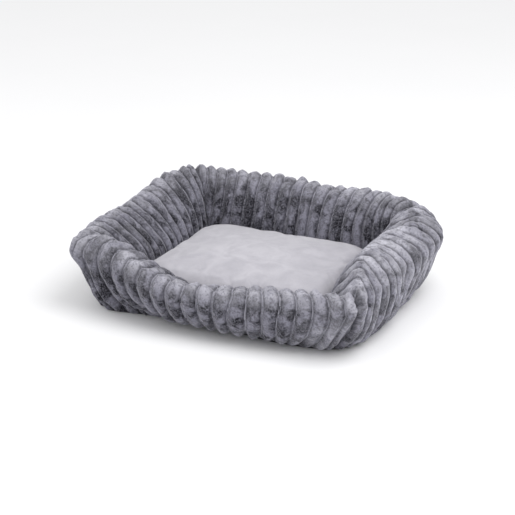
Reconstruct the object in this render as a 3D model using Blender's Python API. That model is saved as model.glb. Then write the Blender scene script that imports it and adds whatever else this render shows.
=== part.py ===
"""Rectangular pet bed: four stuffed ribbed-plush walls on a padded base, with a loose lying cushion.

Metres, +Z up. +X runs along the long side and -Y is the low front. The origin is on the floor, under the
middle of the bed. A wall is drawn once, as a front wall, and turned about Z into its place.
"""

import math

import bmesh
import bpy
from mathutils import Matrix, Vector

# Outer sizes, between the tips of the corners
CORNER_SPAN_X = 0.600
CORNER_SPAN_Y = 0.500
FRONT_CORNER_HEIGHT = 0.148
BACK_CORNER_HEIGHT = 0.172

# Section of a wall at a corner: how far inside the corner tip each point lies
FOOT_INSET = 0.038
FOOT_WIDTH = 0.042
BELLY_INSET = 0.006
CREST_INSET = 0.020
SHOULDER_INSET = 0.054

# How far the wall leans back from its inner foot, up to the line where the cushion's side meets it
CUSHION_LINE_LEAN = 0.005

# How high those points lie, as shares of the height of the section that they shape
BELLY_RISE = 0.50
TIP_RISE = 0.82
SHOULDER_RISE = 0.85
CUSHION_LINE_RISE = 0.52

# Each wall: its turn about Z, the heights of the corners that it starts and ends at, and how far its middle
# stands above the corners, outside their tips, and outside their feet
WALLS = {
    "front": {
        "turn": 0,
        "heights": (FRONT_CORNER_HEIGHT, FRONT_CORNER_HEIGHT),
        "rise": -0.026,
        "bulge": 0.025,
        "foot_bulge": 0.006,
    },
    "right": {
        "turn": 90,
        "heights": (FRONT_CORNER_HEIGHT, BACK_CORNER_HEIGHT),
        "rise": 0.002,
        "bulge": 0.027,
        "foot_bulge": 0.018,
    },
    "back": {
        "turn": 180,
        "heights": (BACK_CORNER_HEIGHT, BACK_CORNER_HEIGHT),
        "rise": 0.008,
        "bulge": 0.025,
        "foot_bulge": 0.010,
    },
    "left": {
        "turn": 270,
        "heights": (BACK_CORNER_HEIGHT, FRONT_CORNER_HEIGHT),
        "rise": 0.012,
        "bulge": 0.027,
        "foot_bulge": 0.018,
    },
}

# Cloth and wadding
PLUSH_THICKNESS = 0.003
UNDERSIDE_THICKNESS = 0.0012
WADDING_THICKNESS = 0.008
FLOOR_PANEL_THICKNESS = 0.0012
CUSHION_PLUSH_THICKNESS = 0.0025
CUSHION_BACKING_THICKNESS = 0.0015

# Lying cushion, with heights above the floor panel that it rests on
CUSHION_CLEARANCE = 0.0015
CUSHION_SEAM_HEIGHT = 0.030
CUSHION_SIDE_HEIGHT = 0.065
CUSHION_CROWN_HEIGHT = 0.090
CUSHION_CORNER_RADIUS = 0.045
CUSHION_LEAST_CORNER_RADIUS = 0.015
CUSHION_SIDE_ROUND = 0.030
CUSHION_BOTTOM_ROUND = 0.018

# Room between neighbouring pieces, between two walls at their mitre, and between cloth and its stuffing
GAP = 0.0003
MITRE_GAP = 0.0005
STUFFING_GAP = 0.0005

# Fineness of the meshes
OUTLINE_STEPS = 3
WALL_STEPS = 8
ARC_STEPS = 6
SIDE_STEPS = 3
CROWN_STEPS = 4
WELD_DISTANCE = 1e-6
SHARP_ANGLE = math.radians(40)

WADDING_BOTTOM = UNDERSIDE_THICKNESS + GAP
FLOOR_PANEL_BOTTOM = WADDING_BOTTOM + WADDING_THICKNESS + GAP
BASE_TOP = FLOOR_PANEL_BOTTOM + FLOOR_PANEL_THICKNESS
RESTING_HEIGHT = BASE_TOP + GAP
CUSHION_INSET = FOOT_INSET + FOOT_WIDTH + CUSHION_CLEARANCE


def clear_scene():
    for obj in list(bpy.data.objects):
        bpy.data.objects.remove(obj)


def material(name, colour, roughness):
    """A cloth finish: sRGB hex colour and roughness, no metal."""
    made = bpy.data.materials.new(name)
    made.use_nodes = True
    shader = made.node_tree.nodes["Principled BSDF"]
    channels = [int(colour[i : i + 2], 16) / 255 for i in (1, 3, 5)]
    linear = [((c + 0.055) / 1.055) ** 2.4 if c > 0.04045 else c / 12.92 for c in channels]
    shader.inputs["Base Color"].default_value = (*linear, 1)
    shader.inputs["Roughness"].default_value = roughness
    shader.inputs["Metallic"].default_value = 0
    return made


def lofted(name, rings, finish, turn=0):
    """One closed body through rings of points: a grid bent onto them, its seam welded and its ends filled.

    The grid is cut into triangles while it is flat, so that two surfaces with rings that run the same way
    stay parallel where their squares are twisted.
    """
    points = len(rings[0])
    bm = bmesh.new()
    bmesh.ops.create_grid(bm, x_segments=len(rings) - 1, y_segments=points, size=1)
    bmesh.ops.triangulate(bm, faces=bm.faces, quad_method="FIXED")
    for vert in bm.verts:
        ring = round((vert.co.x + 1) / 2 * (len(rings) - 1))
        place = round((vert.co.y + 1) / 2 * points)
        vert.co = rings[ring][place % points]
    bmesh.ops.remove_doubles(bm, verts=bm.verts, dist=WELD_DISTANCE)
    bmesh.ops.holes_fill(bm, edges=bm.edges)
    bmesh.ops.recalc_face_normals(bm, faces=bm.faces)
    mesh = bpy.data.meshes.new(name)
    bm.to_mesh(mesh)
    bm.free()
    mesh.shade_smooth()
    mesh.set_sharp_from_angle(angle=SHARP_ANGLE)
    mesh.materials.append(finish)
    obj = bpy.data.objects.new(name, mesh)
    obj.rotation_euler.z = math.radians(turn)
    bpy.context.collection.objects.link(obj)


def smooth_outline(corners):
    """Points along a curve that passes through the given 2-D corners (a Catmull-Rom spline)."""
    ends = [corners[0] * 2 - corners[1], *corners, corners[-1] * 2 - corners[-2]]
    points = [corners[0]]
    for before, start, end, after in zip(ends, ends[1:], ends[2:], ends[3:]):
        for step in range(1, OUTLINE_STEPS + 1):
            t = step / OUTLINE_STEPS
            points.append(
                start
                + (end - before) * (t / 2)
                + (before * 2 - start * 5 + end * 4 - after) * (t**2 / 2)
                + (start * 3 - before - end * 3 + after) * (t**3 / 2)
            )
    return points


def inner_outline(points, thickness):
    """The outline moved to its left by a thickness. The two ends keep their height."""
    moved = []
    for i, point in enumerate(points):
        run = (points[min(i + 1, len(points) - 1)] - points[max(i - 1, 0)]).normalized()
        moved.append(point + Vector((-run.y, run.x)) * thickness)
    moved[0].y = points[0].y
    moved[-1].y = points[-1].y
    return moved


def wall_outline(along, wall):
    """Outer face of a wall, from its outer foot over the crest to its inner foot, as (outward, up).

    Outward counts from the corner tips. along is -1 and 1 at the corners and 0 halfway between them.
    """
    middle = 1 - along**2
    start_height, end_height = wall["heights"]
    height = start_height + (end_height - start_height) * (along + 1) / 2
    reach = height - RESTING_HEIGHT
    inner_foot = -FOOT_INSET - FOOT_WIDTH
    corners = [
        Vector((-FOOT_INSET, WADDING_BOTTOM)),
        Vector((-BELLY_INSET, RESTING_HEIGHT + reach * BELLY_RISE)),
        Vector((0, RESTING_HEIGHT + reach * TIP_RISE)),
        Vector((-CREST_INSET, height)),
        Vector((-SHOULDER_INSET, RESTING_HEIGHT + reach * SHOULDER_RISE)),
        Vector((inner_foot + CUSHION_LINE_LEAN, RESTING_HEIGHT + reach * CUSHION_LINE_RISE)),
        Vector((inner_foot, RESTING_HEIGHT)),
    ]
    points = smooth_outline(corners)
    for point in points:
        lift = max(0, point.y - RESTING_HEIGHT) / reach
        outness = min(1, (point.x - inner_foot) / FOOT_WIDTH)
        bulge = wall["foot_bulge"] + (wall["bulge"] - wall["foot_bulge"]) * lift
        point.x += middle * bulge * outness
        point.y += middle * wall["rise"] * lift
    return points


def wall_outside(outline):
    """The outside of the plush: the outline itself."""
    return outline


def cover_inside(outline):
    """The inside of the plush along an outline."""
    return inner_outline(outline, PLUSH_THICKNESS)


def cover_outline(outline):
    """The whole section of the plush: up its outside and back down its inside."""
    return outline + cover_inside(outline)[::-1]


def stuffing_outline(outline):
    """The section of the stuffing, back from the inner foot, with a flat bottom on the floor panel."""
    inside = inner_outline(outline, PLUSH_THICKNESS + STUFFING_GAP)
    foot, above = inside[0], inside[1]
    inside[0] = foot.lerp(above, (RESTING_HEIGHT - foot.y) / (above.y - foot.y))
    return inside[::-1]


def half_sizes(wall):
    """Half a wall's length, and its distance from the middle of the bed, both at the corner tips."""
    if wall["turn"] % 180:
        return CORNER_SPAN_Y / 2, CORNER_SPAN_X / 2
    return CORNER_SPAN_X / 2, CORNER_SPAN_Y / 2


def wall_rings(wall, section):
    """The rings of a body in a wall, whose first and last lie in the mitres at 45 degrees."""
    half_length, half_across = half_sizes(wall)
    rings = []
    for step in range(WALL_STEPS + 1):
        along = 2 * step / WALL_STEPS - 1
        points = section(wall_outline(along, wall))
        mitre = section(wall_outline(math.copysign(1, along), wall))
        rings.append(
            [
                Vector((along * (half_length + end.x - MITRE_GAP / 2), -half_across - point.x, point.y))
                for point, end in zip(points, mitre)
            ]
        )
    return rings


def build_wall(side, wall, plush, stuffing):
    lofted(f"{side}_wall_cover", wall_rings(wall, cover_outline), plush, wall["turn"])
    lofted(f"{side}_wall_stuffing", wall_rings(wall, stuffing_outline), stuffing, wall["turn"])


def base_ring(section, inset, height):
    """Round the bed at a height, this far inside the foot of the given section of each wall."""
    ring = []
    for wall in WALLS.values():
        half_length, half_across = half_sizes(wall)
        for step in range(WALL_STEPS):
            along = 2 * step / WALL_STEPS - 1
            foot = section(wall_outline(along, wall))[0].x - inset
            mitre = section(wall_outline(-1, wall))[0].x - inset
            point = Vector((along * (half_length + mitre), -half_across - foot, height))
            point.rotate(Matrix.Rotation(math.radians(wall["turn"]), 3, "Z"))
            ring.append(point)
    return ring


def build_layer(name, section, inset, bottom, thickness, finish):
    """A flat layer of the base, reaching to the feet of the walls."""
    rings = [base_ring(section, inset, bottom + rise) for rise in (0, thickness)]
    lofted(name, rings, finish)


def build_base(underside_cloth, wadding, floor_cloth):
    build_layer("base_underside", wall_outside, 0, 0, UNDERSIDE_THICKNESS, underside_cloth)
    build_layer("base_wadding", cover_inside, GAP, WADDING_BOTTOM, WADDING_THICKNESS, wadding)
    build_layer(
        "base_floor_panel", cover_inside, GAP, FLOOR_PANEL_BOTTOM, FLOOR_PANEL_THICKNESS, floor_cloth
    )


def cushion_ring(point):
    """A rounded rectangle round the cushion, point.x outward from its edge and at the height point.y."""
    half_x = CORNER_SPAN_X / 2 - CUSHION_INSET + point.x
    half_y = CORNER_SPAN_Y / 2 - CUSHION_INSET + point.x
    radius = min(max(CUSHION_CORNER_RADIUS + point.x, CUSHION_LEAST_CORNER_RADIUS), half_x, half_y)
    ring = []
    for quarter in range(4):
        sign_x = (1, -1, -1, 1)[quarter]
        sign_y = (1, 1, -1, -1)[quarter]
        centre = Vector((sign_x * (half_x - radius), sign_y * (half_y - radius), point.y))
        arc = []
        for step in range(ARC_STEPS + 1):
            angle = (quarter + step / ARC_STEPS) * math.pi / 2
            arc.append(centre + Vector((math.cos(angle), math.sin(angle), 0)) * radius)
        if ring:
            last = ring[-1]
            ring += [last.lerp(arc[0], step / SIDE_STEPS) for step in range(1, SIDE_STEPS)]
        ring += arc
    last = ring[-1]
    ring += [last.lerp(ring[0], step / SIDE_STEPS) for step in range(1, SIDE_STEPS)]
    return ring


def crown_reach():
    """How far the crown's last ring lies inside the cushion's edge."""
    return CORNER_SPAN_Y / 2 - CUSHION_INSET - CUSHION_SIDE_ROUND


def cushion_top_outline():
    """From the seam round the side and over the crown, as (outward from the edge, up)."""
    seam = RESTING_HEIGHT + CUSHION_SEAM_HEIGHT + GAP / 2
    side_rise = RESTING_HEIGHT + CUSHION_SIDE_HEIGHT - seam
    points = []
    for step in range(ARC_STEPS + 1):
        angle = step / ARC_STEPS * math.pi / 2
        inset = CUSHION_SIDE_ROUND * (1 - math.cos(angle))
        points.append(Vector((-inset, seam + side_rise * math.sin(angle))))
    for step in range(1, CROWN_STEPS + 1):
        share = step / CROWN_STEPS
        inset = CUSHION_SIDE_ROUND + share * (crown_reach() - CUSHION_SIDE_ROUND)
        lift = (CUSHION_CROWN_HEIGHT - CUSHION_SIDE_HEIGHT) * math.sin(share * math.pi / 2)
        points.append(Vector((-inset, seam + side_rise + lift)))
    return points


def cushion_bottom_outline():
    """From the middle of the flat bottom outwards and up to the seam, as (outward from the edge, up)."""
    rise = CUSHION_SEAM_HEIGHT - GAP / 2
    points = [Vector((-crown_reach(), RESTING_HEIGHT))]
    for step in range(ARC_STEPS + 1):
        angle = step / ARC_STEPS * math.pi / 2
        inset = CUSHION_BOTTOM_ROUND * (1 - math.sin(angle))
        points.append(Vector((-inset, RESTING_HEIGHT + rise * (1 - math.cos(angle)))))
    return points


def build_cushion(plush, backing, stuffing):
    top, bottom = cushion_top_outline(), cushion_bottom_outline()
    inside = inner_outline(top, CUSHION_PLUSH_THICKNESS)
    inside[-1].y -= CUSHION_PLUSH_THICKNESS
    top_shell = [cushion_ring(point) for point in inside[::-1] + top]
    lofted("cushion_top_panel", top_shell, plush)
    inside = inner_outline(bottom, CUSHION_BACKING_THICKNESS)
    inside[0].y += CUSHION_BACKING_THICKNESS
    bottom_shell = [cushion_ring(point) for point in bottom + inside[::-1]]
    lofted("cushion_bottom_panel", bottom_shell, backing)
    over = inner_outline(top, CUSHION_PLUSH_THICKNESS + STUFFING_GAP)
    over[-1].y -= CUSHION_PLUSH_THICKNESS + STUFFING_GAP
    under = inner_outline(bottom, CUSHION_BACKING_THICKNESS + STUFFING_GAP)[:-1]
    under[0].y += CUSHION_BACKING_THICKNESS + STUFFING_GAP
    inner_rings = [cushion_ring(point) for point in under + over]
    lofted("cushion_stuffing", inner_rings[::-1], stuffing)


def main():
    clear_scene()
    ribbed_plush = material("ribbed short-pile plush", "#6d6c78", 0.95)
    pale_plush = material("smooth short-pile plush", "#c6c4cc", 0.9)
    coated_cloth = material("coated polyester with grip dots", "#3c3c42", 0.7)
    lining = material("woven polyester lining", "#8b8a93", 0.85)
    fibre = material("polyester fibre stuffing", "#e9e9e6", 1.0)
    build_base(coated_cloth, fibre, lining)
    for side, wall in WALLS.items():
        build_wall(side, wall, ribbed_plush, fibre)
    build_cushion(pale_plush, lining, fibre)


main()
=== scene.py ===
"""Rectangular pet bed: stuffed ribbed-plush walls on a padded base, with a loose pale lying cushion.

Metres, +Z up. +X runs along the long side and -Y is the low front. A place round the bed is its turn: 0 is
the middle of the front wall, 1 of the right, 2 of the back and 3 of the left, and the corners lie halfway.
"""

import math

import bmesh
import bpy
import numpy as np
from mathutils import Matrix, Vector


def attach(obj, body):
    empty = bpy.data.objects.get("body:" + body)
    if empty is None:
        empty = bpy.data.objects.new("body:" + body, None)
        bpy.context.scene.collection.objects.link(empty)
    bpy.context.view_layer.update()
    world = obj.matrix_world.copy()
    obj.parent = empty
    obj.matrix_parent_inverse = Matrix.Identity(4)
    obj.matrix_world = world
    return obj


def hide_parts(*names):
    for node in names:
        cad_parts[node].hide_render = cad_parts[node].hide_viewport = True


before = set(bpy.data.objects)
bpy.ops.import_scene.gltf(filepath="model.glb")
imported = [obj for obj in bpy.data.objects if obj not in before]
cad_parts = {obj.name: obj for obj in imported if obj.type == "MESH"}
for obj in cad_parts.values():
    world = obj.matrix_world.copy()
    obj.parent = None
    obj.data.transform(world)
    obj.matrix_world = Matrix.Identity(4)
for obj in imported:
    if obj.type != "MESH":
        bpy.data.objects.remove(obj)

bl_info = {
    "name": "Ribbed Plush Pet Bed",
    "version": (1, 0, 0),
    "blender": (4, 5, 0),
    "location": "View3D > Sidebar > Pet Bed",
    "description": "Builds a pet bed with ribbed plush walls and a lying cushion",
    "category": "Add Mesh",
}

# The rectangle that the corner tips lie on
HALF_X = 0.300
HALF_Y = 0.250

WALLS = ("front", "right", "back", "left")

# Even steps round the bed, from the middle of the front wall: the height of the crest, and how far outside
# the rectangle of the corner tips the wall's widest line, its crest, its foot and the cushion's line lie
CREST_HEIGHTS = (
    0.114, 0.116, 0.122, 0.132, 0.140, 0.152, 0.158, 0.160,
    0.162, 0.164, 0.167, 0.170, 0.172, 0.174, 0.174, 0.176,
    0.179, 0.179, 0.179, 0.181, 0.184, 0.181, 0.179, 0.172,
    0.166, 0.166, 0.167, 0.166, 0.165, 0.161, 0.134, 0.114,
)  # fmt: skip
TIP_PLACES = (
    0.028, 0.020, 0.018, 0.024, 0.027, 0.032, -0.004, 0.019,
    0.022, 0.020, 0.004, 0.030, 0.032, 0.028, 0.009, 0.016,
)  # fmt: skip
CREST_PLACES = (
    0.010, 0.004, 0.004, -0.022, -0.028, -0.018, -0.034, -0.004,
    -0.002, -0.004, -0.020, 0.006, 0.008, 0.004, -0.010, -0.002,
)  # fmt: skip
FOOT_PLACES = (
    -0.050, -0.034, -0.042, -0.018, -0.012, -0.014, -0.044, -0.030,
    -0.030, -0.030, -0.050, -0.025, -0.015, -0.018, -0.030, -0.051,
)  # fmt: skip
CUSHION_LINE_PLACES = (
    -0.075, -0.075, -0.085, -0.098, -0.100, -0.098, -0.085, -0.075,
    -0.075, -0.075, -0.080, -0.085, -0.085, -0.085, -0.080, -0.075,
)  # fmt: skip

# The base's layers, one on the other
UNDERSIDE_TOP = 0.0012
WADDING_BOTTOM = 0.0015
WADDING_TOP = 0.0095
PANEL_BOTTOM = 0.0098
PANEL_TOP = 0.0110
WALL_BOTTOM = 0.0116
LIP = 0.006

# Room between neighbouring walls at a corner seam, on each side of it
SEAM_GAP = 0.0004

WELD_DISTANCE = 1e-7

# Steps of a cloth simulation
CLOTH_STEPS = 20


def linear(colour):
    """A colour written as sRGB hex, as the linear values that a shader takes."""
    channels = [int(colour[i : i + 2], 16) / 255 for i in (1, 3, 5)]
    return [((c + 0.055) / 1.055) ** 2.4 if c > 0.04045 else c / 12.92 for c in channels] + [1]


def spline(before, first, second, after, share):
    """A smooth curve from first to second (Catmull-Rom), at a share from 0 to 1 of the way."""
    return first + 0.5 * (
        (second - before) * share
        + (2 * before - 5 * first + 4 * second - after) * share**2
        + (3 * first - before - 3 * second + after) * share**3
    )


def round_the_bed(values, turns):
    """Values given evenly round the bed, smoothly read at any turns."""
    values = np.asarray(values)
    place = turns / 4 * len(values)
    start = np.floor(place).astype(int)
    near = [values[(start + step) % len(values)] for step in (-1, 0, 1, 2)]
    return spline(*near, place - start)


def lumps(points, size, seed):
    """Smooth random heights from -1 to 1 at points, with bumps about this size across."""
    scaled = np.asarray(points) / size + seed * 17.31
    cell = np.floor(scaled).astype(np.int64)
    share = scaled - cell
    share = share * share * (3 - 2 * share)
    total = np.zeros(scaled.shape[:-1])
    for corner in np.ndindex(2, 2, 2):
        lattice = cell + np.array(corner)
        mixed = lattice[..., 0] * 73856093 ^ lattice[..., 1] * 19349663 ^ lattice[..., 2] * 83492791
        mixed = (mixed ^ (mixed >> 13)) * 1274126177
        value = ((mixed ^ (mixed >> 16)) & 0xFFFF) / 32767.5 - 1
        weight = np.prod(np.where(np.array(corner) == 1, share, 1 - share), axis=-1)
        total += value * weight
    return total


def plan_places(turns, outward, radius):
    """Points (x, y) round the bed, this far outside the rectangle of the tips, with rounded corners."""
    wall = np.floor(turns + 0.5)
    share = (turns - wall) * 2
    lengthways = wall % 2 == 0
    half_along = np.where(lengthways, HALF_X, HALF_Y) + outward
    half_across = np.where(lengthways, HALF_Y, HALF_X) + outward
    along = share * half_along
    bent = np.clip((np.abs(along) - half_along + radius) / radius, 0, 1) * math.pi / 4
    round_end = np.sign(along) * (half_along - radius + radius * np.sin(bent))
    along = np.where(bent > 0, round_end, along)
    across = half_across - radius + radius * np.cos(bent)
    angle = wall * math.pi / 2
    x = along * np.cos(angle) + across * np.sin(angle)
    y = along * np.sin(angle) - across * np.cos(angle)
    return x, y


def closed_body(name, rings, attributes=()):
    """One closed body through rings of points, [ring, place round it]: a grid bent onto them, its long seam
    welded and its two ends filled. Each attribute has a name and a vector for each point."""
    count, places = rings.shape[:2]
    bm = bmesh.new()
    bmesh.ops.create_grid(bm, x_segments=count - 1, y_segments=places, size=1)
    flat = np.array([vert.co for vert in bm.verts])
    ring = np.rint((flat[:, 0] + 1) / 2 * (count - 1)).astype(int)
    place = np.rint((flat[:, 1] + 1) / 2 * places).astype(int) % places
    for vert, target in zip(bm.verts, rings[ring, place]):
        vert.co = target
    for title, values in attributes:
        layer = bm.verts.layers.float_vector.new(title)
        for vert, value in zip(bm.verts, values[ring, place]):
            vert[layer] = value
    bmesh.ops.remove_doubles(bm, verts=bm.verts, dist=WELD_DISTANCE)
    bmesh.ops.holes_fill(bm, edges=bm.edges)
    bmesh.ops.recalc_face_normals(bm, faces=bm.faces)
    return finished(name, bm)


def finished(name, bm):
    """An object made from the bmesh, shaded smooth apart from its sharp edges."""
    mesh = bpy.data.meshes.new(name)
    bm.to_mesh(mesh)
    bm.free()
    mesh.shade_smooth()
    mesh.set_sharp_from_angle(angle=math.radians(60))
    obj = bpy.data.objects.new(name, mesh)
    bpy.context.scene.collection.objects.link(obj)
    return obj


def surface_normals(places):
    """The direction square to a surface of points [across, along], at each of them."""
    along = np.gradient(places, axis=0)
    across = np.gradient(places, axis=1)
    normals = np.cross(across, along)
    return normals / np.maximum(np.linalg.norm(normals, axis=-1, keepdims=True), 1e-12)


def mesh_points(mesh):
    points = np.empty(len(mesh.vertices) * 3, np.float32)
    mesh.vertices.foreach_get("co", points)
    return points.reshape(-1, 3).astype(float)


def put_points(mesh, points):
    mesh.vertices.foreach_set("co", points.astype(np.float32).ravel())
    mesh.update()


def applied(obj):
    """The object with its modifiers applied to its mesh."""
    graph = bpy.context.evaluated_depsgraph_get()
    mesh = bpy.data.meshes.new_from_object(obj.evaluated_get(graph))
    obj.modifiers.clear()
    obj.data = mesh
    return obj


def blown_up(obj, pressure, slack, stiffness, most_movement, held=None):
    """The object blown up as a stuffed cloth cover: cloth a little larger than the shape, under pressure and
    without weight, whose points move only a little way. The held group stays in place."""
    before = mesh_points(obj.data)
    cloth = obj.modifiers.new("cover", "CLOTH")
    cloth.settings.use_pressure = True
    cloth.settings.uniform_pressure_force = pressure
    cloth.settings.effector_weights.gravity = 0
    cloth.settings.shrink_min = -slack
    cloth.settings.quality = 5
    cloth.settings.mass = 0.25
    cloth.settings.tension_stiffness = stiffness
    cloth.settings.compression_stiffness = stiffness
    cloth.settings.bending_stiffness = 1.5
    if held is not None:
        cloth.settings.vertex_group_mass = held
    cloth.point_cache.frame_start = 1
    cloth.point_cache.frame_end = CLOTH_STEPS
    for step in range(1, CLOTH_STEPS + 1):
        bpy.context.scene.frame_set(step)
    applied(obj)
    bpy.context.scene.frame_set(1)
    moved = mesh_points(obj.data) - before
    far = np.linalg.norm(moved, axis=-1, keepdims=True)
    moved *= np.minimum(1, most_movement / np.maximum(far, 1e-9))
    put_points(obj.data, before + moved)
    return moved


# ---------------------------------------------------------------- walls

# The section of a wall, from its inner foot over the crest to its outer foot: the share of the crest's
# height that each point lies at, the radius of the level's corners, and how many rows of the mesh follow it
SECTION_HEIGHTS = (0, 0.52, 0.88, 1, 0.80, 0.50, 0.22, 0)
SECTION_RADII = (0.040, 0.030, 0.015, 0.015, 0.020, 0.040, 0.042, 0.036)
SECTION_ROWS = (20, 22, 20, 20, 22, 22, 22)
LINE_LEAN = 0.005
SHOULDER_STEP = 0.038
BELLY_STEP = 0.004
SKIRT_SHARE = 0.62
CORNER_TAPER = 0.011
CORNER_STRAIGHTNESS = 0.14

# How far each corner's seam strays from the corner's middle halfway up, in turns, from the front right one on
SEAM_STRAYS = (0.020, 0.010, -0.006, 0.006)
FOOT_HEIGHT = 0.005


def section_points(turns):
    """The eight points of the wall's section at these turns, as (outward, up) for each of them."""
    height = round_the_bed(CREST_HEIGHTS, turns)
    tip = round_the_bed(TIP_PLACES, turns)
    crest = round_the_bed(CREST_PLACES, turns)
    foot = round_the_bed(FOOT_PLACES, turns)
    line = round_the_bed(CUSHION_LINE_PLACES, turns)
    corner = np.abs(turns - np.floor(turns + 0.5)) * 2
    belly = tip - BELLY_STEP - CORNER_TAPER * corner**4
    outward = [
        line - LINE_LEAN,
        line,
        crest - SHOULDER_STEP,
        crest,
        tip,
        belly,
        foot + (belly - foot) * (SKIRT_SHARE - CORNER_STRAIGHTNESS * corner**4),
        foot,
    ]
    up = [height * share for share in SECTION_HEIGHTS]
    up[0] = np.full_like(height, WALL_BOTTOM)
    up[-1] = np.full_like(height, FOOT_HEIGHT)
    return outward, up


def section_rows():
    """The places in the section that the rows of the mesh lie at, from 0 at the inner foot."""
    rows = [
        np.linspace(point, point + 1, count, endpoint=False) for point, count in enumerate(SECTION_ROWS)
    ]
    return np.append(np.concatenate(rows), len(SECTION_ROWS))


def along_section(values, rows):
    """Values given at the points of the section, smoothly read at the rows."""
    ends = [2 * values[0] - values[1], *values, 2 * values[-1] - values[-2]]
    read = []
    for row in rows:
        start = min(int(row), len(values) - 2)
        read.append(spline(*ends[start : start + 4], row - start))
    return np.stack(read, axis=-1)


def corner_seams(rows):
    """How far each corner's seam strays from the corner's middle at each row, in turns."""
    level = rows / rows[-1]
    swing = np.sin(level * math.pi)
    return np.outer(SEAM_STRAYS, swing)


def wall_surface(side, columns):
    """The smooth shape of a wall before its ribs: points, places along it from 0 to 1, and rows."""
    rows = section_rows()
    seams = corner_seams(rows)
    share = np.linspace(0, 1, columns)
    wall = WALLS.index(side)
    length = 2 * (HALF_X if wall % 2 == 0 else HALF_Y)
    start = wall - 0.5 + seams[wall - 1] + SEAM_GAP / length
    end = wall + 0.5 + seams[wall] - SEAM_GAP / length
    turns = start[None, :] + share[:, None] * (end - start)[None, :]
    outward = np.empty_like(turns)
    up = np.empty_like(turns)
    for j, row in enumerate(rows):
        out_points, up_points = section_points(turns[:, j])
        outward[:, j] = along_section(out_points, [row])[:, 0]
        up[:, j] = along_section(up_points, [row])[:, 0]
    radius = along_section([np.float64(r) for r in SECTION_RADII], rows)
    x, y = plan_places(turns, outward, radius[None, :])
    return np.stack([x, y, up], axis=-1), share, rows


# The share of a rib's height that lies under the smooth shape
RIB_SUNK = 0.55

# How far along the right wall its ribs are bowed most, as they are drawn round its front end
BOWED_SHARE = 0.13

# How many of the ribs reach down the inside of a wall between its corner seams, which cut the others off
INNER_SPREAD = 0.80


def rib_heights(side, share, rows, points, settings):
    """The ribs' height over their grooves, each point's place in its rib, and the rib's number."""
    count = getattr(settings, f"ribs_{side}")
    wander = lumps(points, 0.055, 3) * settings.rib_wander
    ends = np.clip(np.minimum(share, 1 - share) * count, 0, 1)
    spread = np.interp(rows, (0.5, 2.5), (INNER_SPREAD, 1))
    phase = (0.5 + (share[:, None] - 0.5) * spread) * count + wander * ends[:, None]
    if side == "right":
        near = share / BOWED_SHARE * np.exp(1 - share / BOWED_SHARE)
        phase -= settings.rib_bow * near[:, None] * np.sin(rows / rows[-1] * math.pi)[None, :]
    rib = np.floor(phase)
    place = phase - rib
    profile = 1 - np.abs(2 * place - 1) ** settings.rib_fullness
    seed = WALLS.index(side) * 31
    own = lumps(np.stack([rib * 1.0 + seed, rib * 0, points[..., 2] / 0.06], axis=-1), 1.0, 5)
    return settings.rib_depth * (1 + settings.rib_unevenness * own) * (profile - RIB_SUNK), place, rib + seed


def wall_fade(rows):
    """How strongly the ribs stand out at each row: less at the two feet."""
    rise = np.clip(rows / 0.8, 0, 1)
    fall = np.clip((rows[-1] - rows) / 0.5, 0, 1)
    return rise * (0.85 + 0.15 * fall)


# A corner seam's valley: its width. Its gathers: how far apart along the wall, and how far they reach
VALLEY_WIDTH = 0.007
GATHER_SPACING = 0.05
GATHER_REACH = 0.028


def seam_gathers(side, share, rows, settings):
    """The valley along each corner seam, and the gathers that run out from it."""
    wall = WALLS.index(side)
    length = 2 * (HALF_X if wall % 2 == 0 else HALF_Y)
    distance = np.minimum(share, 1 - share)[:, None] * length
    strength = np.interp(rows, (0, 1, 2, 5, 7), (0.2, 0.8, 1, 1, 0.5))
    valley = -settings.seam_depth * np.exp(-distance / VALLEY_WIDTH) * strength
    away, level = np.broadcast_arrays(distance / GATHER_SPACING + wall * 9, rows / 0.35)
    pleats = lumps(np.stack([away, level, np.zeros_like(away)], axis=-1), 1.0, 11 + wall)
    gathers = settings.gather_height * pleats * np.exp(-distance / GATHER_REACH)
    return valley + gathers * strength


# Where the knots along the crest are in the section, and how wide that strip is
KNOT_ROW = 2.9
KNOT_SPREAD = 0.7

# Sizes of the unevenness of a wall: its lumps, its small lumps, its knots and the tufts of its pile
LUMP_SIZE = 0.07
SMALL_LUMP_SIZE = 0.022
KNOT_SIZE = 0.015
TUFT_SIZE = 0.0045

# How near a corner seam the stuffing moves the cover less
QUIET_REACH = 0.045

# How stiff a wall's cover is in its cloth simulation
WALL_CLOTH_STIFFNESS = 15

# Areas of a wall given painted sheen, a paler pile colour for where the pile is seen edge on: the place along
# the wall and how wide, the place in its section and how wide, and how strongly
PAINTED_SHEEN_AREAS = {
    "front": ((0.92, 0.09, 5.6, 1.6, 0.60),),
    "right": ((0.45, 0.60, 2.7, 1.3, 1.0), (0.50, 0.60, 5.0, 1.6, 0.40)),
    "back": (),
    "left": ((0.80, 0.16, 2.1, 0.9, 0.25),),
}

# The pinched corner: where it is, and how wide
PUCKER = (0.3125, -0.2475, 0.1350)
PUCKER_WIDTH = 0.0085
PUCKER_FOLDS = 7
PUCKER_RIM = 2.2


def corner_pucker(points, depth):
    """A pinched hollow on the front right corner's seam, with a rim and folds that run out from it."""
    away = points - np.array(PUCKER)
    distance = np.linalg.norm(away, axis=-1)
    angle = np.arctan2(away[..., 2], (away[..., 0] + away[..., 1]) * math.sqrt(0.5))
    hollow = -np.exp(-((distance / PUCKER_WIDTH) ** 2))
    rim = 0.40 * np.exp(-((distance / PUCKER_WIDTH - PUCKER_RIM) ** 2))
    folds = 0.16 * np.cos(PUCKER_FOLDS * angle) * np.exp(-((distance / PUCKER_WIDTH / 2.6 - 1) ** 2))
    return depth * (hollow + rim + folds)


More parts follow.
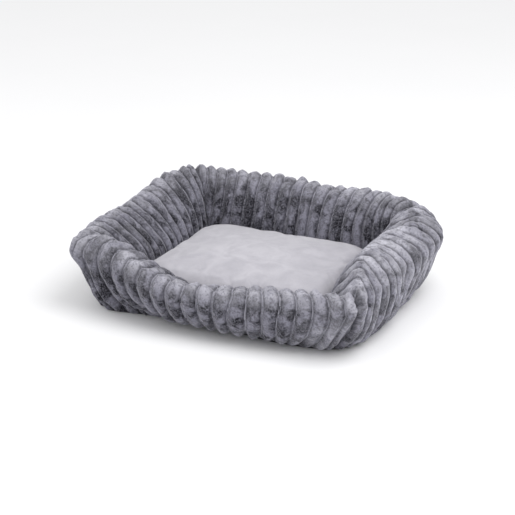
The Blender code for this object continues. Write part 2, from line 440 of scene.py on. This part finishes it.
def ribbed_wall(side, settings):
    """A stuffed wall of ribbed plush: its smooth shape, pushed out by its ribs, gathers, lumps and pile."""
    wall = WALLS.index(side)
    length = 2 * (HALF_X if wall % 2 == 0 else HALF_Y)
    columns = int(length / settings.fineness) + 1
    smooth, share, rows = wall_surface(side, columns)
    fade = wall_fade(rows)
    ribs, place, rib = rib_heights(side, share, rows, smooth, settings)
    push = (ribs + lumps(smooth, LUMP_SIZE, 1) * settings.lump_height) * fade
    push += seam_gathers(side, share, rows, settings) * np.minimum(fade * 1.5, 1)
    push += lumps(smooth, SMALL_LUMP_SIZE, 2) * settings.lump_height * 0.3 * fade
    push += stuffing_push(smooth, np.minimum(share, 1 - share) * length, settings)
    push += corner_pucker(smooth, settings.pucker_depth)
    knots = np.exp(-(((rows - KNOT_ROW) / KNOT_SPREAD) ** 2))
    push += lumps(smooth, KNOT_SIZE, 4) * settings.knot_height * knots * fade
    push += lumps(smooth, TUFT_SIZE, 7) * settings.tuft_height * (1 + 1.5 * knots) * fade
    pushed = smooth + surface_normals(smooth) * push[..., None]
    pushed[..., 2] = np.maximum(pushed[..., 2], WADDING_BOTTOM)
    hem = settings.hem_rise * np.abs(2 * place - 1) ** 2
    pushed[..., 2] += hem * np.interp(rows, (5.6, 7), (0, 1))
    skin = np.concatenate([pushed, wall_bottom(pushed, hem[:, -1])], axis=1)
    # Painted sheen: pale pile along the crests, round the pinched corner's rim and in listed areas, kept for
    # the material
    pile_and_painted_light = painted_sheen_mask(side, smooth, share, rows, settings)
    marks = np.stack([place, rib, np.broadcast_to(rows, place.shape)], axis=-1)
    sheen_marks = np.stack([pile_and_painted_light, np.zeros_like(pile_and_painted_light), np.zeros_like(pile_and_painted_light)], axis=-1)
    below = ((0, 0), (0, skin.shape[1] - len(rows)), (0, 0))
    attributes = [("rib_place", np.pad(marks, below, "edge")), ("pile_and_painted_light", np.pad(sheen_marks, below, "edge"))]
    return closed_body(f"{side}_wall", skin, attributes)


def spread_out(values, columns, rows, count, row_count):
    """Values at some columns and rows of a grid, spread evenly over all of them."""
    wide = np.stack([np.interp(np.arange(count), columns, line) for line in values.T], axis=1)
    return np.stack([np.interp(np.arange(row_count), rows, line) for line in wide])


def stuffing_push(smooth, distance, settings):
    """How far the stuffing pushes a wall's cover out or in at each point.

    A coarse slack cover is blown up, held at its seams and feet. Its even swelling is left out.
    """
    count, row_count = smooth.shape[:2]
    columns = np.unique(np.append(np.arange(0, count, settings.cloth_columns), count - 1))
    rows = np.unique(np.append(np.arange(0, row_count, settings.cloth_rows), row_count - 1))
    coarse = smooth[np.ix_(columns, rows)]
    skin = np.concatenate([coarse, wall_bottom(coarse, np.zeros(len(columns)))], axis=1)
    i, j = np.meshgrid(np.arange(skin.shape[0]), np.arange(skin.shape[1]), indexing="ij")
    held = (i == 0) | (i == len(columns) - 1) | (j < 2) | (j >= len(rows) - 1)
    cover = closed_body("wall_shape", skin, [("grid_place", np.stack([i, j, held], axis=-1))])
    marks = np.array([value.vector for value in cover.data.attributes["grid_place"].data])
    group = cover.vertex_groups.new(name="held")
    group.add([int(index) for index in np.flatnonzero(marks[:, 2] > 0.5)], 1.0, "REPLACE")
    most = settings.most_movement
    moved = blown_up(cover, settings.pressure, settings.slack, WALL_CLOTH_STIFFNESS, most, "held")
    bpy.data.objects.remove(cover)
    outside = marks[:, 1] < len(rows) - 0.5
    place = np.rint(marks[outside, :2]).astype(int)
    shift = np.zeros(coarse.shape)
    shift[place[:, 0], place[:, 1]] = moved[outside]
    push = np.sum(shift * surface_normals(coarse), axis=-1)
    push = spread_out(push - push.mean(axis=0), columns, rows, count, row_count)
    return push * (1 - np.exp(-((distance / QUIET_REACH) ** 2)))[:, None]


def painted_sheen_mask(side, points, share, rows, settings):
    """How strongly painted sheen lightens the pile, from 0 to 1: along the crest, round the pinched corner's
    rim and in areas of each wall, broken into patches."""
    pile_and_painted_light = np.exp(-(((rows - 3.0) / 0.85) ** 2))[None, :] * settings.crest_painted_sheen
    for middle, width, level, rise, strength in PAINTED_SHEEN_AREAS[side]:
        across = np.exp(-(((share - middle) / width) ** 2))
        up = np.exp(-(((rows - level) / rise) ** 2))
        pile_and_painted_light = np.maximum(pile_and_painted_light, strength * across[:, None] * up[None, :])
    rim = np.linalg.norm(points - np.array(PUCKER), axis=-1) / PUCKER_WIDTH - PUCKER_RIM
    pile_and_painted_light = np.maximum(pile_and_painted_light, np.exp(-((rim / 1.1) ** 2)))
    broken = 0.66 + 0.50 * lumps(points, 0.024, 21) + 0.35 * lumps(points, 0.009, 22)
    return np.clip(pile_and_painted_light * np.clip(broken, 0, 1), 0, 1)


def wall_bottom(skin, hem):
    """The rows that close a wall below: under its outer foot, where the hem rises at the grooves, up behind
    the base's edge and across to the inner foot."""
    foot, inner = skin[:, -1], skin[:, 0]
    inward = inner - foot
    inward[:, 2] = 0
    inward /= np.linalg.norm(inward, axis=-1, keepdims=True)
    rows = []
    for step, height in ((0.001, WADDING_BOTTOM + 0.001), (0.003, WADDING_BOTTOM)):
        rows.append(foot + inward * step)
        rows[-1][:, 2] = height + hem
    for height in (WADDING_BOTTOM, WALL_BOTTOM):
        rows.append(foot + inward * LIP)
        rows[-1][:, 2] = height
    behind = rows[-1]
    for part in range(1, 8):
        rows.append(behind + (inner - behind) * part / 8)
        rows[-1][:, 2] = WALL_BOTTOM
    return np.stack(rows, axis=1)


# ---------------------------------------------------------------- base


def foot_outline(inset, count=240):
    """The outline of the walls' feet, this far inside them."""
    turns = np.arange(count) / count * 4
    return plan_places(turns, round_the_bed(FOOT_PLACES, turns) - inset, SECTION_RADII[-1])


def layer(name, inset, bottom, top):
    """A flat layer of the base."""
    x, y = foot_outline(inset)
    rings = [np.stack([x, y, np.full_like(x, height)], axis=-1) for height in (bottom, top)]
    return closed_body(name, np.stack(rings)), x, y


# ---------------------------------------------------------------- cushion

CUSHION_BOTTOM = 0.0114
CUSHION_CENTRE_X = -0.007
CUSHION_BOTTOM_ROUND = 0.018
CUSHION_SEAM_GAP = 0.00015


def rounded_rectangle(half_x, half_y, radius, count=160):
    """Points (x, y) evenly round a rectangle with rounded corners."""
    corner = radius * math.pi / 2
    sides = (2 * (half_x - radius), 2 * (half_y - radius))
    total = 2 * sum(sides) + 4 * corner
    x, y = [], []
    for i in range(count):
        way = (i + 0.5) / count * total
        quarter = 0
        while way > sides[quarter % 2] + corner:
            way -= sides[quarter % 2] + corner
            quarter += 1
        long = (half_x, half_y)[quarter % 2]
        across = (half_y, half_x)[quarter % 2]
        angle = max(0, way - sides[quarter % 2]) / radius
        along = min(way, sides[quarter % 2]) - long + radius + radius * math.sin(angle)
        out = across - radius + radius * math.cos(angle)
        turn = quarter * math.pi / 2
        x.append(along * math.cos(turn) + out * math.sin(turn))
        y.append(along * math.sin(turn) - out * math.cos(turn))
    return np.array(x), np.array(y)


def cushion_outline(settings):
    """Half the cushion's section, from the middle of its bottom to the middle of its top, as (inset, up)."""
    least = min(settings.half_length, settings.half_width)
    middle = least - 0.002
    outline = [(middle - (middle - CUSHION_BOTTOM_ROUND) * step / 12, 0.0) for step in range(12)]
    for step in range(9):
        angle = step / 8 * math.pi / 2
        inset = CUSHION_BOTTOM_ROUND * (1 - math.sin(angle))
        outline.append((inset, settings.seam_height * (1 - math.cos(angle))))
    rise = settings.side_height - settings.seam_height
    for step in range(1, 13):
        angle = step / 12 * math.pi / 2
        inset = settings.side_round * (1 - math.cos(angle) ** settings.side_fullness)
        outline.append((inset, settings.seam_height + rise * math.sin(angle) ** settings.side_fullness))
    for step in range(1, 17):
        share = step / 16
        lift = (settings.crown_height - settings.side_height) * math.sin(share * math.pi / 2)
        inset = settings.side_round + (middle - settings.side_round) * share
        outline.append((inset, settings.side_height + lift))
    return outline


def cushion_body(settings):
    """The cushion before it is stuffed: a crowned rounded rectangle, its bottom flat on the floor panel."""
    rings = []
    for inset, up in cushion_outline(settings):
        radius = max(settings.corner_radius - inset * 0.6, 0.0015)
        x, y = rounded_rectangle(settings.half_length - inset, settings.half_width - inset, radius)
        rings.append(np.stack([x + CUSHION_CENTRE_X, y, np.full_like(x, CUSHION_BOTTOM + up)], axis=-1))
    return closed_body("cushion_shape", np.stack(rings))


def stuffed(obj, settings):
    """The cushion's shape with even faces, blown up by its stuffing."""
    remesh = obj.modifiers.new("even faces", "REMESH")
    remesh.mode = "VOXEL"
    remesh.voxel_size = settings.cloth_fineness
    applied(obj)
    blown_up(obj, settings.stuffing_pressure, 0.0, 25, settings.most_movement)
    return obj


def fitted(obj, low, high):
    """The object's mesh stretched to lie exactly between two corners of a box."""
    points = mesh_points(obj.data)
    least, most = points.min(0), points.max(0)
    put_points(obj.data, low + (points - least) / (most - least) * (np.array(high) - low))
    return obj


def cushion_half(name, whole, height, keep_above):
    """The part of the cushion above or below its seam, closed along the cut."""
    bm = bmesh.new()
    bm.from_mesh(whole.data)
    bmesh.ops.bisect_plane(
        bm,
        geom=[*bm.verts, *bm.edges, *bm.faces],
        dist=1e-6,
        plane_co=(0, 0, height),
        plane_no=(0, 0, 1),
        clear_inner=keep_above,
        clear_outer=not keep_above,
    )
    bmesh.ops.holes_fill(bm, edges=[edge for edge in bm.edges if edge.is_boundary])
    bmesh.ops.recalc_face_normals(bm, faces=bm.faces)
    return finished(name, bm)


# ---------------------------------------------------------------- materials


def add_node(tree, kind, inputs=(), **options):
    """A shader node with its options set and its inputs given as values or as links from other nodes."""
    node = tree.nodes.new(kind)
    for name, value in options.items():
        setattr(node, name, value)
    for name, value in dict(inputs).items():
        if isinstance(value, bpy.types.NodeSocket):
            tree.links.new(value, node.inputs[name])
        else:
            node.inputs[name].default_value = value
    return node


def new_material(name):
    """A material with an empty node tree apart from its surface shader, and the piece's own coordinates."""
    material = bpy.data.materials.new(name)
    material.use_nodes = True
    tree = material.node_tree
    shader = tree.nodes["Principled BSDF"]
    place = add_node(tree, "ShaderNodeTexCoord").outputs["Object"]
    return material, tree, shader, place


def noise(tree, place, size, detail=2, roughness=0.5, distortion=0.0):
    """Random values from 0 to 1, in patches about this size across in metres."""
    inputs = {
        "Vector": place,
        "Scale": 1 / size,
        "Detail": detail,
        "Roughness": roughness,
        "Distortion": distortion,
    }
    return add_node(tree, "ShaderNodeTexNoise", inputs).outputs["Fac"]


def stretched(tree, value, low, high, to_low=0.0, to_high=1.0):
    """A value from low to high, spread over to_low to to_high."""
    inputs = {
        "Value": value,
        "From Min": low,
        "From Max": high,
        "To Min": to_low,
        "To Max": to_high,
    }
    return add_node(tree, "ShaderNodeMapRange", inputs).outputs["Result"]


def mixed(tree, share, first, second, blend="MIX"):
    """Two colours mixed by a share. Each is a link or an sRGB hex colour."""
    node = add_node(tree, "ShaderNodeMix", data_type="RGBA", blend_type=blend)
    colour_sockets = [s for s in node.inputs if s.type == "RGBA"]
    for socket, value in zip([node.inputs["Factor"], *colour_sockets], (share, first, second)):
        if isinstance(value, bpy.types.NodeSocket):
            tree.links.new(value, socket)
        elif isinstance(value, str):
            socket.default_value = linear(value)
        else:
            socket.default_value = value
    return next(s for s in node.outputs if s.type == "RGBA")


def bump(tree, height, distance, strength, under=None):
    inputs = {"Height": height, "Distance": distance, "Strength": strength}
    if under is not None:
        inputs["Normal"] = under
    return add_node(tree, "ShaderNodeBump", inputs).outputs["Normal"]


def calculated(tree, operation, first, second=0.0):
    """The result of a sum on one or two values, each a link or a number."""
    node = add_node(tree, "ShaderNodeMath", {0: first, 1: second}, operation=operation)
    return node.outputs["Value"]


def plush_ribbed(settings):
    """Wide-ribbed short-pile plush, dark grey: pile in dark and pale patches that run along each rib, painted
    sheen along the crests and in some areas, painted shade on each rib's flanks towards its groove, pale
    lines in the grooves, partly where the pile parts and partly painted sheen, and a shine where it is seen
    edge on."""
    material, tree, shader, place = new_material("ribbed short-pile polyester plush, dyed grey")
    marks = add_node(tree, "ShaderNodeAttribute", attribute_name="rib_place").outputs["Vector"]
    marks = add_node(tree, "ShaderNodeSeparateXYZ", {"Vector": marks}).outputs
    pile_and_painted_light = add_node(tree, "ShaderNodeAttribute", attribute_name="pile_and_painted_light").outputs["Vector"]
    pile_and_painted_light = add_node(tree, "ShaderNodeSeparateXYZ", {"Vector": pile_and_painted_light}).outputs["X"]
    wide = noise(tree, place, 0.036, 3, 0.62, 1.0)
    own = add_node(
        tree,
        "ShaderNodeCombineXYZ",
        {
            "X": calculated(tree, "MULTIPLY", marks["Y"], 3.7),
            "Y": calculated(tree, "MULTIPLY", marks["Z"], 1.15),
            "Z": calculated(tree, "MULTIPLY", marks["X"], 0.7),
        },
    ).outputs["Vector"]
    along_rib = noise(tree, own, 1.0, 3, 0.6, 0.6)
    patches = calculated(tree, "ADD", wide, along_rib)
    patches = stretched(tree, patches, 0.90, 1.12)
    colour = mixed(tree, patches, settings.dark_pile, settings.grey_pile)
    # Painted sheen: the pile is made pale where the walls' painted sheen mask says, broken into patches
    colour = mixed(tree, calculated(tree, "MULTIPLY", pile_and_painted_light, 0.95), colour, settings.pale_pile)
    grain = stretched(tree, noise(tree, place, 0.0030, 3, 0.7), 0.46, 0.64, 0, 0.50)
    colour = mixed(tree, grain, colour, "#94939e")
    speck = stretched(tree, noise(tree, place, 0.0042, 2, 0.6), 0.50, 0.62, 0, 0.36)
    colour = mixed(tree, speck, colour, settings.dark_pile)
    # Painted shade: the pile darkens on both flanks of each rib, towards its groove
    side = calculated(tree, "ABSOLUTE", calculated(tree, "SUBTRACT", marks["X"], 0.5))
    colour = mixed(tree, stretched(tree, side, 0.28, 0.44, 0, 0.58), colour, settings.dark_pile)
    # The pale line in each groove: partly the paler ground where the pile parts, partly painted sheen of the
    # rib's flank seen edge on
    line = stretched(tree, side, 0.435, 0.468, 0, 0.90)
    tree.links.new(mixed(tree, line, colour, settings.parted_pile_and_sheen), shader.inputs["Base Color"])
    nap = bump(tree, noise(tree, place, 0.014, 3, 0.6, 0.8), 0.005, 0.6)
    pile = bump(tree, noise(tree, place, 0.0024, 3, 0.7), 0.0018, 0.85, nap)
    tree.links.new(pile, shader.inputs["Normal"])
    shader.inputs["Roughness"].default_value = 0.95
    shader.inputs["Specular IOR Level"].default_value = 0.15
    shader.inputs["Sheen Weight"].default_value = 0.9
    shader.inputs["Sheen Roughness"].default_value = 0.30
    shader.inputs["Sheen Tint"].default_value = linear("#e2e1ec")
    return material


def plush_smooth(settings):
    """Smooth short-pile plush, pale grey: fine even pile with faint patches, and painted shade that darkens
    it towards its right end.
    """
    material, tree, shader, place = new_material("smooth short-pile polyester plush, pale grey")
    patches = stretched(tree, noise(tree, place, 0.045, 4, 0.6, 0.8), 0.36, 0.64)
    pile_and_painted_light = mixed(tree, patches, settings.dark_pile, settings.pale_pile)
    # Painted shade: the plush is made darker towards its right end, where the right wall shades the cushion
    across = add_node(tree, "ShaderNodeSeparateXYZ", {"Vector": place}).outputs["X"]
    pile_and_painted_light = mixed(tree, stretched(tree, across, 0.04, 0.20, 0, 0.30), pile_and_painted_light, "#88868f")
    grain = stretched(tree, noise(tree, place, 0.0014, 2, 0.6), 0.3, 0.7, 0, 0.3)
    colour = mixed(tree, grain, pile_and_painted_light, "#cfcdd3")
    tree.links.new(colour, shader.inputs["Base Color"])
    nap = bump(tree, noise(tree, place, 0.015, 3, 0.6, 0.5), 0.0015, 0.4)
    pile = bump(tree, noise(tree, place, 0.0012, 2, 0.7), 0.0006, 0.5, nap)
    tree.links.new(pile, shader.inputs["Normal"])
    shader.inputs["Roughness"].default_value = 0.9
    shader.inputs["Specular IOR Level"].default_value = 0.2
    shader.inputs["Sheen Weight"].default_value = 0.5
    shader.inputs["Sheen Roughness"].default_value = 0.4
    shader.inputs["Sheen Tint"].default_value = linear("#ffffff")
    return material


def cloth_coated():
    """Dark woven cloth coated below, with small raised grip dots in rows."""
    material, tree, shader, place = new_material("polyester oxford cloth, coated, with grip dots")
    turned = add_node(tree, "ShaderNodeMapping", {"Vector": place, "Scale": (100, 100, 0)})
    dots = add_node(
        tree,
        "ShaderNodeTexVoronoi",
        {"Vector": turned.outputs["Vector"], "Scale": 1.0, "Randomness": 0.0},
        voronoi_dimensions="2D",
    )
    dot = stretched(tree, dots.outputs["Distance"], 0.18, 0.14)
    weave = stretched(tree, noise(tree, place, 0.0010, 1), 0.3, 0.7)
    cloth = mixed(tree, weave, "#34343a", "#3e3e45")
    tree.links.new(mixed(tree, dot, cloth, "#1b1b1e"), shader.inputs["Base Color"])
    woven = bump(tree, weave, 0.0003, 0.6)
    tree.links.new(bump(tree, dot, 0.0008, 1.0, woven), shader.inputs["Normal"])
    shader.inputs["Roughness"].default_value = 0.7
    return material


def cloth_lining(thread):
    """Plain woven polyester lining: a fine weave of paler and darker threads."""
    material, tree, shader, place = new_material("polyester lining cloth, plain weave")
    across = add_node(
        tree, "ShaderNodeTexWave", {"Vector": place, "Scale": 500}, bands_direction="X"
    ).outputs["Fac"]
    along = add_node(
        tree, "ShaderNodeTexWave", {"Vector": place, "Scale": 500}, bands_direction="Y"
    ).outputs["Fac"]
    threads = mixed(tree, calculated(tree, "MULTIPLY", across, 0.4), thread, "#a3a3ab")
    threads = mixed(tree, calculated(tree, "MULTIPLY", along, 0.4), threads, "#77777f")
    tree.links.new(threads, shader.inputs["Base Color"])
    weave = bump(tree, along, 0.0002, 0.5, bump(tree, across, 0.0002, 0.5))
    tree.links.new(weave, shader.inputs["Normal"])
    shader.inputs["Roughness"].default_value = 0.8
    shader.inputs["Sheen Weight"].default_value = 0.15
    return material


def fibre_wadding():
    """Polyester fibre wadding: off-white, matt, with loose curled fibres."""
    material, tree, shader, place = new_material("polyester fibre wadding, off-white")
    fibres = noise(tree, place, 0.004, 4, 0.7, 2.0)
    tree.links.new(mixed(tree, fibres, "#dcdcd8", "#f0f0ec"), shader.inputs["Base Color"])
    tree.links.new(bump(tree, fibres, 0.002, 0.7), shader.inputs["Normal"])
    shader.inputs["Roughness"].default_value = 1.0
    shader.inputs["Sheen Weight"].default_value = 0.3
    return material


# ---------------------------------------------------------------- settings and operators


def metres(name, description, default, **options):
    return bpy.props.FloatProperty(
        name=name, description=description, default=default, unit="LENGTH", precision=4, **options
    )


def factor(name, description, default):
    return bpy.props.FloatProperty(
        name=name, description=description, default=default, min=0, subtype="FACTOR"
    )


def colour(name, description, default):
    return bpy.props.FloatVectorProperty(
        name=name, description=description, default=linear(default), size=4, min=0, max=1, subtype="COLOR"
    )


class WallSettings(bpy.types.PropertyGroup):
    """What the stuffed walls of ribbed plush look like."""

    fineness: metres("Fineness", "Size of the faces along a wall", 0.0018, min=0.001)
    ribs_front: bpy.props.IntProperty(name="Front Ribs", description="Ribs on the front wall", default=19)
    ribs_right: bpy.props.IntProperty(name="Right Ribs", description="Ribs on the right wall", default=16)
    ribs_back: bpy.props.IntProperty(name="Back Ribs", description="Ribs on the back wall", default=20)
    ribs_left: bpy.props.IntProperty(name="Left Ribs", description="Ribs on the left wall", default=16)
    pressure: bpy.props.FloatProperty(
        name="Stuffing Pressure", description="How hard the stuffing pushes on the cover", default=3.0
    )
    slack: factor("Slack", "How much larger the cover is than the wall's shape", 0.05)
    most_movement: metres("Most Movement", "How far the stuffing may push the cover", 0.007)
    cloth_columns: bpy.props.IntProperty(
        name="Cloth Columns", description="Fine faces to one face of the simulated cover, along", default=5
    )
    cloth_rows: bpy.props.IntProperty(
        name="Cloth Rows", description="Fine faces to one face of the simulated cover, across", default=4
    )
    rib_depth: metres("Rib Depth", "How far a rib stands out of its grooves", 0.0080)
    rib_fullness: bpy.props.FloatProperty(
        name="Rib Fullness", description="How flat a rib's top and how narrow its grooves are", default=2.1
    )
    rib_unevenness: factor("Rib Unevenness", "How much ribs differ in depth", 0.22)
    rib_wander: factor("Rib Wander", "How far ribs stray to the side, in ribs", 0.10)
    rib_bow: factor("Rib Bow", "How far ribs are bowed at the front right corner, in ribs", 0.62)
    seam_depth: metres("Seam Depth", "How deep the corner seams lie", 0.011)
    gather_height: metres("Gather Height", "How high the gathers at the corner seams are", 0.0045)
    pucker_depth: metres("Pucker Depth", "Depth of the pinched front right corner", 0.0150)
    lump_height: metres("Lump Height", "How uneven the stuffing is", 0.0030)
    hem_rise: metres("Hem Rise", "How far the hem rises at the grooves", 0.0065)
    knot_height: metres("Knot Height", "How uneven the ribs are along the crest", 0.0040)
    # How strongly painted sheen lightens the pile along the crest
    crest_painted_sheen: factor("Crest Brushing", "How pale the pile is along the crest", 0.75)
    tuft_height: metres("Tuft Height", "How uneven the pile is", 0.0006)
    dark_pile: colour("Dark Pile", "The plush where its pile lies towards the eye", "#121118")
    grey_pile: colour("Grey Pile", "The plush where its pile lies away from the eye", "#7d7c88")
    # Pale Pile is the colour of the painted sheen on the walls
    pale_pile: colour("Pale Pile", "The plush where it is brushed up", "#cdccd6")
    # Parted Pile is the groove line's colour, partly the pile parting and partly painted sheen
    parted_pile_and_sheen: colour("Parted Pile", "The line in a groove, where the pile parts", "#abaab5")


class BaseSettings(bpy.types.PropertyGroup):
    """How far each layer of the base stays inside the walls' feet."""

    underside_inset: metres("Underside Inset", "From the feet of the walls to the underside's edge", 0.0045)
    inner_inset: metres("Inner Inset", "From the feet of the walls to the wadding's and panel's edge", 0.0072)
    lining: colour("Lining", "The floor panel's cloth", "#8b8a93")


class CushionSettings(bpy.types.PropertyGroup):
    """The shape of the lying cushion and how tightly it is stuffed."""

    half_length: metres("Half Length", "Half of the cushion's length", 0.2040)
    half_width: metres("Half Width", "Half of the cushion's width", 0.1705)
    corner_radius: metres("Corner Radius", "Radius of the corners at the seam", 0.058)
    seam_height: metres("Seam Height", "Height of the side seam above the bottom", 0.030)
    side_height: metres("Side Height", "Height where the side ends and the crown begins", 0.0745)
    side_round: metres("Side Round", "How far in the rounding of the side reaches", 0.034)
    side_fullness: bpy.props.FloatProperty(
        name="Side Fullness", description="How square the side is", default=0.80
    )
    crown_height: metres("Crown Height", "Height of the middle above the bottom", 0.0905)
    cloth_fineness: metres("Cloth Fineness", "Size of the faces of the stuffed cover", 0.005)
    stuffing_pressure: bpy.props.FloatProperty(
        name="Stuffing Pressure", description="How hard the stuffing pushes on the cover", default=4.0
    )
    most_movement: metres("Most Movement", "How far the stuffing may push the cover", 0.008)
    swell: metres("Swell", "How much smaller the cover starts on each side", 0.003)
    dark_pile: colour("Dark Pile", "The plush where it is brushed down", "#a4a2aa")
    pale_pile: colour("Pale Pile", "The plush where it is brushed up", "#b6b4bb")
    lining: colour("Lining", "The cloth under the cushion", "#8b8a93")


class StageSettings(bpy.types.PropertyGroup):
    """Camera and lights."""

    camera_turn: bpy.props.FloatProperty(
        name="Camera Turn", description="Angle from the front", default=math.radians(25.3), subtype="ANGLE"
    )
    camera_rise: bpy.props.FloatProperty(
        name="Camera Rise", description="Angle above the floor", default=math.radians(20.95), subtype="ANGLE"
    )
    camera_distance: metres("Camera Distance", "From the camera to the bed's middle", 2.9515)
    focal_length: bpy.props.FloatProperty(name="Focal Length", description="Millimetres", default=99.2)
    key_power: bpy.props.FloatProperty(name="Key Power", description="Watts", default=32.0)
    fill_power: bpy.props.FloatProperty(name="Fill Power", description="Watts", default=6.0)
    world_strength: bpy.props.FloatProperty(name="World Strength", description="Strength", default=0.92)


def dressed(obj, material):
    obj.data.materials.clear()
    obj.data.materials.append(material)
    return obj


class PETBED_OT_walls(bpy.types.Operator):
    """Build the four stuffed walls of ribbed plush"""

    bl_idname = "petbed.walls"
    bl_label = "Ribbed Plush Walls"

    def execute(self, context):
        settings = context.scene.pet_bed_walls
        plush = plush_ribbed(settings)
        for side in WALLS:
            wall = dressed(ribbed_wall(side, settings), plush)
            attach(wall, "bed")
            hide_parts(f"{side}_wall_cover", f"{side}_wall_stuffing")
        return {"FINISHED"}


class PETBED_OT_base(bpy.types.Operator):
    """Build the underside cloth, the wadding and the floor panel"""

    bl_idname = "petbed.base"
    bl_label = "Base Layers"

    def execute(self, context):
        settings = context.scene.pet_bed_base
        coated, wadding, lining = cloth_coated(), fibre_wadding(), cloth_lining(settings.lining)
        outer, inner = settings.underside_inset, settings.inner_inset
        layers = (
            ("underside", outer, 0, UNDERSIDE_TOP, coated, "coated_cloth"),
            ("wadding", inner, WADDING_BOTTOM, WADDING_TOP, wadding, "fibre_stuffing"),
            ("floor_panel", inner, PANEL_BOTTOM, PANEL_TOP, lining, "lining_cloth"),
        )
        for name, inset, bottom, top, material, slot in layers:
            piece, x, y = layer(f"{name}_layer", inset, bottom, top)
            dressed(piece, material)
            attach(piece, "bed")
            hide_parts(f"base_{name}")
        return {"FINISHED"}


class PETBED_OT_cushion(bpy.types.Operator):
    """Build the loose lying cushion, top and bottom cover with their stuffing"""

    bl_idname = "petbed.cushion"
    bl_label = "Lying Cushion"

    def execute(self, context):
        settings = context.scene.pet_bed_cushion
        whole = cushion_body(settings)
        points = mesh_points(whole.data)
        low, high = points.min(0), points.max(0)
        fitted(whole, low + settings.swell, high - settings.swell)
        stuffed(whole, settings)
        fitted(whole, low, high)
        smoother = whole.modifiers.new("finer faces", "SUBSURF")
        smoother.levels = 1
        smoother.render_levels = 1
        applied(whole)
        seam = CUSHION_BOTTOM + settings.seam_height
        top = cushion_half("cushion_top", whole, seam + CUSHION_SEAM_GAP, True)
        bottom = cushion_half("cushion_bottom", whole, seam - CUSHION_SEAM_GAP, False)
        bpy.data.objects.remove(whole)
        dressed(top, plush_smooth(settings))
        dressed(bottom, cloth_lining(settings.lining))
        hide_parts("cushion_top_panel", "cushion_stuffing")
        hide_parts("cushion_bottom_panel")
        for piece in (top, bottom):
            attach(piece, "cushion")
        return {"FINISHED"}


class PETBED_OT_stage(bpy.types.Operator):
    """Set up the floor, the lights and the camera"""

    bl_idname = "petbed.stage"
    bl_label = "Stage"

    def execute(self, context):
        settings = context.scene.pet_bed_stage
        studio_floor()
        for light in studio_lights(settings):
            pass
        context.scene.camera = studio_camera(settings)
        studio_world(context.scene, settings)
        return {"FINISHED"}


def studio_floor():
    bm = bmesh.new()
    bmesh.ops.create_grid(bm, x_segments=1, y_segments=1, size=8)
    floor = finished("floor", bm)
    material, tree, shader, place = new_material("matt white paper")
    faint = mixed(tree, noise(tree, place, 0.6), "#f4f4f5", "#f7f7f8")
    tree.links.new(faint, shader.inputs["Base Color"])
    shader.inputs["Roughness"].default_value = 1.0
    shader.inputs["Specular IOR Level"].default_value = 0.0
    floor.location.z = -0.0002
    return dressed(floor, material)


def studio_lights(settings):
    """A large soft key from the upper right and a fill from the left, both aimed at the bed."""
    lights = []
    for name, power, size, place in (
        ("key", settings.key_power, 1.8, (1.3, -0.4, 2.2)),
        ("fill", settings.fill_power, 2.0, (-2.2, -1.2, 1.3)),
    ):
        lamp = bpy.data.lights.new(name, "AREA")
        lamp.shape = "DISK"
        lamp.size = size
        lamp.energy = power
        light = bpy.data.objects.new(name, lamp)
        light.location = place
        light.rotation_euler = Vector(place).to_track_quat("Z", "Y").to_euler()
        bpy.context.scene.collection.objects.link(light)
        lights.append(light)
    return lights


CAMERA_AIM = (-0.00874, 0.00458)
CAMERA_AIM_HEIGHT = 0.0774


def studio_camera(settings):
    """A camera to the right of the front, a little above the bed."""
    turn, rise = settings.camera_turn, settings.camera_rise
    back = Vector((math.sin(turn) * math.cos(rise), -math.cos(turn) * math.cos(rise), math.sin(rise)))
    right = Vector((math.cos(turn), math.sin(turn), 0))
    aim = Vector((0, 0, CAMERA_AIM_HEIGHT)) + right * CAMERA_AIM[0] + back.cross(right) * CAMERA_AIM[1]
    lens = bpy.data.cameras.new("camera")
    lens.lens = settings.focal_length
    lens.sensor_width = 36
    camera = bpy.data.objects.new("camera", lens)
    camera.location = aim + back * settings.camera_distance
    camera.rotation_euler = back.to_track_quat("Z", "Y").to_euler()
    bpy.context.scene.collection.objects.link(camera)
    return camera


def studio_world(scene, settings):
    world = bpy.data.worlds.new("studio")
    world.use_nodes = True
    background = world.node_tree.nodes["Background"]
    background.inputs["Color"].default_value = (1, 1, 1, 1)
    background.inputs["Strength"].default_value = settings.world_strength
    scene.world = world
    scene.view_settings.view_transform = "Standard"


class PETBED_PT_panel(bpy.types.Panel):
    """The bed's settings and operators"""

    bl_label = "Pet Bed"
    bl_idname = "PETBED_PT_panel"
    bl_space_type = "VIEW_3D"
    bl_region_type = "UI"
    bl_category = "Pet Bed"

    def draw(self, context):
        for attribute, operator in PARTS:
            box = self.layout.box()
            settings = getattr(context.scene, attribute)
            for name in settings.__annotations__:
                box.prop(settings, name)
            box.operator(operator)


PARTS = (
    ("pet_bed_walls", "petbed.walls"),
    ("pet_bed_base", "petbed.base"),
    ("pet_bed_cushion", "petbed.cushion"),
    ("pet_bed_stage", "petbed.stage"),
)
SETTINGS = (WallSettings, BaseSettings, CushionSettings, StageSettings)
CLASSES = (
    *SETTINGS,
    PETBED_OT_walls,
    PETBED_OT_base,
    PETBED_OT_cushion,
    PETBED_OT_stage,
    PETBED_PT_panel,
)


def register():
    for made in CLASSES:
        bpy.utils.register_class(made)
    for (attribute, _), made in zip(PARTS, SETTINGS):
        setattr(bpy.types.Scene, attribute, bpy.props.PointerProperty(type=made))


def unregister():
    for attribute, _ in PARTS:
        delattr(bpy.types.Scene, attribute)
    for made in reversed(CLASSES):
        bpy.utils.unregister_class(made)


def main():
    """Build the bed, each piece attached to its body."""
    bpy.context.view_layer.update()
    register()
    bpy.ops.petbed.walls()
    bpy.ops.petbed.base()
    bpy.ops.petbed.cushion()
    bpy.ops.petbed.stage()


if __name__ == "__main__":
    main()
